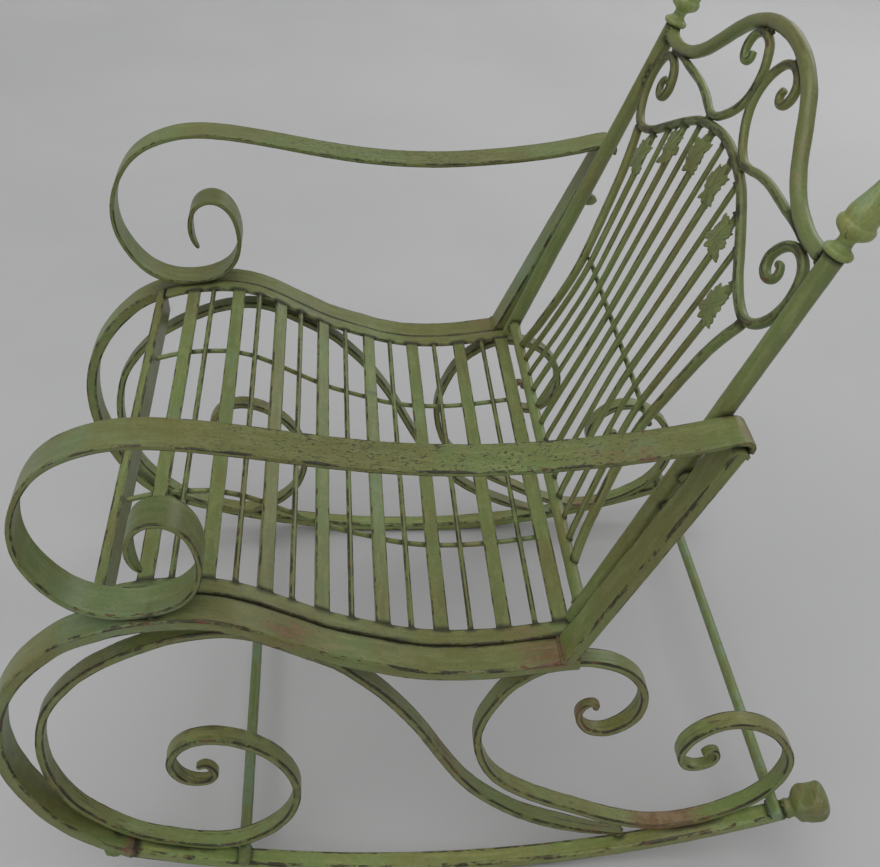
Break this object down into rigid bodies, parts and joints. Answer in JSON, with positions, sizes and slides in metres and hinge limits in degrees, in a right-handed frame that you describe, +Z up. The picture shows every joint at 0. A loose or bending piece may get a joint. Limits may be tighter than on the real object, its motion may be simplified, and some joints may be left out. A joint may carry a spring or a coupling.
{
  "type": "rocking chair",
  "caption": "Wrought iron rocking chair with worn green paint, rolled strap arms, slatted dished seat, scroll side brackets and a reclined spindle back with a bent crest.",
  "frame": {"origin": "on the floor, under the middle of the overall box", "axes": "+Z up, +Y to the back of the chair, +X to the sitter's left; the chair is the same on both sides of the plane x = 0"},
  "size_m": [0.647, 0.9691, 0.9565],
  "materials": {
    "side_paint": "olive green satin paint, rubbed thin on edges, dark lines and rust at the joints",
    "seat_paint": "olive and brighter green satin paint, worn to brown along the slat edges",
    "back_paint": "olive green satin paint, darker in the crevices",
    "cross_rod_paint": "paler blue green paint, patchy",
    "casting_paint": "green paint over cast iron, rubbed on the high points"
  },
  "bodies": {
    "root": {"arm_left": "side_paint", "arm_right": "side_paint", "back_foot_tube": "back_paint", "back_post_left": "back_paint", "back_post_right": "back_paint", "back_scroll_left": "back_paint", "back_scroll_right": "back_paint", "crest": "back_paint", "cross_rod": "back_paint", "finial_left": "casting_paint", "finial_right": "casting_paint", "front_rail": "seat_paint", "front_scroll_left": "side_paint", "front_scroll_right": "side_paint", "hoop": "back_paint", "leaf_spindle_1": "back_paint", "leaf_spindle_2": "back_paint", "leaf_spindle_3": "back_paint", "leaf_spindle_4": "back_paint", "leaf_spindle_5": "back_paint", "leaf_spindle_6": "back_paint", "outer_spindle_left": "back_paint", "outer_spindle_right": "back_paint", "plain_spindle_1": "back_paint", "plain_spindle_2": "back_paint", "plain_spindle_3": "back_paint", "plain_spindle_4": "back_paint", "plain_spindle_5": "back_paint", "post_bolt_left": "back_paint", "post_bolt_right": "back_paint", "rear_rail": "seat_paint", "rear_scroll_left": "side_paint", "rear_scroll_right": "side_paint", "rocker_knob_left": "casting_paint", "rocker_knob_right": "casting_paint", "rocker_left": "side_paint", "rocker_right": "side_paint", "seat_bar_1": "seat_paint", "seat_bar_2": "seat_paint", "seat_bar_3": "seat_paint", "seat_bar_4": "seat_paint", "seat_bar_5": "seat_paint", "seat_bar_6": "seat_paint", "seat_bar_7": "seat_paint", "seat_strip_left": "seat_paint", "seat_strip_right": "seat_paint", "side_frame_left": "side_paint", "side_frame_right": "side_paint", "slat_1": "seat_paint", "slat_2": "seat_paint", "slat_3": "seat_paint", "slat_4": "seat_paint", "slat_5": "seat_paint", "slat_6": "seat_paint", "slat_7": "seat_paint", "stretcher_front": "cross_rod_paint", "stretcher_rear": "cross_rod_paint", "under_rod_left": "seat_paint", "under_rod_right": "seat_paint"}
  },
  "joints": []
}
